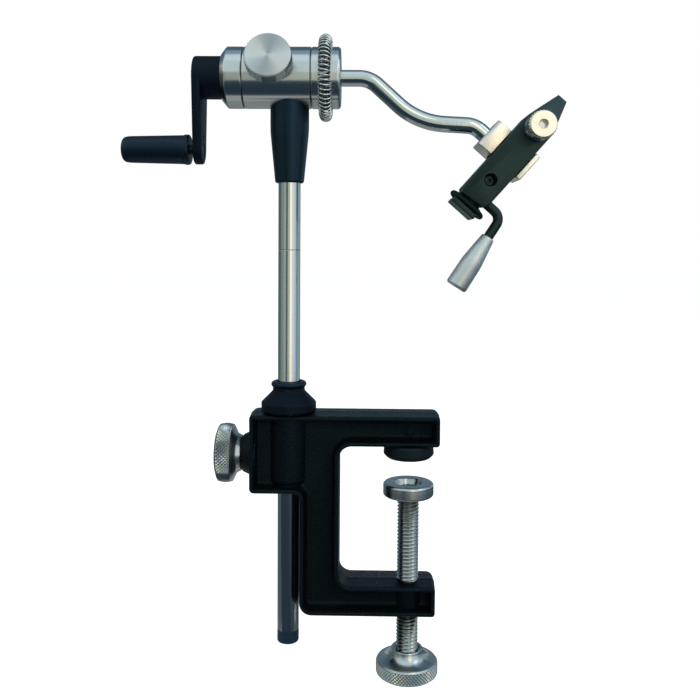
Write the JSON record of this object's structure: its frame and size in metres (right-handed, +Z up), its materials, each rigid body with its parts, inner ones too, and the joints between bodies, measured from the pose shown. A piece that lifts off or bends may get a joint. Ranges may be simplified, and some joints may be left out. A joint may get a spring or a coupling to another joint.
{
  "type": "fly tying vise",
  "caption": "Rotary fly tying vise: C-clamp with a sliding post, crank-turned head, bent jaw arm and cam-closed jaws.",
  "frame": {"origin": "centre of the fixed rubber pad's underside, which rests on the top of the table", "axes": "+X along the head towards the jaws, +Y to the back, away from the tension screw, +Z up"},
  "size_m": [0.1901, 0.042, 0.2778],
  "materials": {
    "black_casting": "semi-gloss black enamel on a casting",
    "black_rubber": "matt black rubber",
    "bright_steel": "bright machined steel",
    "turned_steel": "turned stainless steel",
    "polished_steel": "polished stainless rod",
    "spring_steel": "bright spring wire",
    "satin_nickel": "satin, warm-tinted nickel",
    "black_steel": "blackened steel",
    "black_anodised": "satin black anodising",
    "black_plastic": "satin black moulding",
    "bronze": "sintered bronze",
    "nylon": "natural nylon"
  },
  "bodies": {
    "clamp": {"clamp_frame": "black_casting", "fixed_pad": "black_rubber", "fixed_pad_rivet": "bright_steel"},
    "pad_carrier": {"pad_retaining_ring": "bright_steel"},
    "clamp_screw_rod": {"clamp_screw": "turned_steel", "clamp_screw_knob": "turned_steel"},
    "swivel_pad_disc": {"swivel_pad": "turned_steel"},
    "lock_carrier": {"lock_tip": "nylon"},
    "lock_thumbscrew": {"lock_screw": "turned_steel", "lock_screw_head": "turned_steel"},
    "collar": {"stop_collar": "black_anodised", "collar_ring": "black_rubber", "collar_set_screw": "bright_steel"},
    "post": {"lower_post": "polished_steel", "upper_post": "polished_steel", "post_joint_stud": "bright_steel", "post_end_cap": "black_plastic", "head_barrel": "turned_steel", "neck_sleeve": "black_plastic", "rear_bushing": "bronze", "front_bushing": "bronze"},
    "brake": {"brake_plug": "nylon"},
    "tension_thumbscrew": {"tension_screw": "turned_steel", "tension_screw_head": "turned_steel"},
    "rotor": {"spindle": "turned_steel", "rear_cap": "turned_steel", "front_collar": "turned_steel", "collar_grub_screw": "black_steel", "material_spring": "spring_steel", "crank_arm": "black_anodised", "crank_grub_screw": "bright_steel", "grip_screw": "black_steel", "jaw_arm": "polished_steel", "jaw_block": "satin_nickel", "block_grub_screw": "black_steel", "rear_jaw": "black_steel", "jaw_fixing_screw": "black_steel", "fulcrum_screw": "black_steel", "jaw_ring": "black_rubber", "adjusting_screw": "turned_steel"},
    "grip": {"crank_grip": "black_plastic"},
    "moving_jaw": {"front_jaw": "black_steel"},
    "lever": {"cam_lever": "black_steel", "lever_knob": "turned_steel"},
    "thumb_nut": {"adjusting_nut": "satin_nickel"}
  },
  "joints": [
    {"name": "clamp_screw_travel", "type": "slide", "parent": "clamp", "child": "pad_carrier", "axis": [0, 0, 1], "range_m": [-0.034, 0.01]},
    {"name": "clamp_screw_turn", "type": "hinge", "parent": "pad_carrier", "child": "clamp_screw_rod", "pos_m": [0, 0, -0.06], "axis": [0, 0, 1], "range_deg": [-7712, 2270]},
    {"name": "swivel_pad_tilt", "type": "hinge", "parent": "pad_carrier", "child": "swivel_pad_disc", "pos_m": [0, 0, -0.0143], "axis": [0, 1, 0], "range_deg": [-4, 4]},
    {"name": "lock_screw_travel", "type": "slide", "parent": "clamp", "child": "lock_carrier", "axis": [1, 0, 0], "range_m": [-0.008, 0]},
    {"name": "lock_screw_turn", "type": "hinge", "parent": "lock_carrier", "child": "lock_thumbscrew", "pos_m": [-0.07, 0, 0.0011], "axis": [1, 0, 0], "range_deg": [-2270, 0]},
    {"name": "post_swing", "type": "hinge", "parent": "clamp", "child": "collar", "pos_m": [-0.05236, 0, 0.0196], "axis": [0, 0, 1], "continuous": true},
    {"name": "post_height", "type": "slide", "parent": "collar", "child": "post", "axis": [0, 0, 1], "range_m": [-0.048, 0.06]},
    {"name": "tension_screw_travel", "type": "slide", "parent": "post", "child": "brake", "axis": [0, 0.9703, -0.2419], "range_m": [-0.003, 0]},
    {"name": "tension_screw_turn", "type": "hinge", "parent": "brake", "child": "tension_thumbscrew", "pos_m": [-0.05966, 0, 0.1633], "axis": [0, 0.9703, -0.2419], "range_deg": [-1081, 0]},
    {"name": "rotary_turn", "type": "hinge", "parent": "post", "child": "rotor", "pos_m": [-0.05236, 0, 0.1633], "axis": [1, 0, 0], "continuous": true},
    {"name": "grip_spin", "type": "hinge", "parent": "rotor", "child": "grip", "pos_m": [-0.1, 0, 0.1326], "axis": [1, 0, 0], "continuous": true},
    {"name": "cam_lever_turn", "type": "hinge", "parent": "rotor", "child": "lever", "pos_m": [0.02774, 0, 0.11406], "axis": [-0.749, 0, 0.6626], "range_deg": [0, 110]},
    {"name": "jaw_close", "type": "hinge", "parent": "rotor", "child": "moving_jaw", "pos_m": [0.0518, 0, 0.14125], "axis": [-0.749, 0, 0.6626], "range_deg": [0, 0.96]},
    {"name": "thumb_nut_turn", "type": "hinge", "parent": "rotor", "child": "thumb_nut", "pos_m": [0.0518, 0, 0.14125], "axis": [0, 1, 0], "range_deg": [-180, 180]}
  ],
  "couplings": [
    {"joint": "clamp_screw_turn", "follows": "clamp_screw_travel", "rad_per_m": 3957.9},
    {"joint": "lock_screw_turn", "follows": "lock_screw_travel", "rad_per_m": 4947.4},
    {"joint": "tension_screw_turn", "follows": "tension_screw_travel", "rad_per_m": 6283.2},
    {"joint": "jaw_close", "follows": "cam_lever_turn", "ratio": 0.0086364}
  ]
}
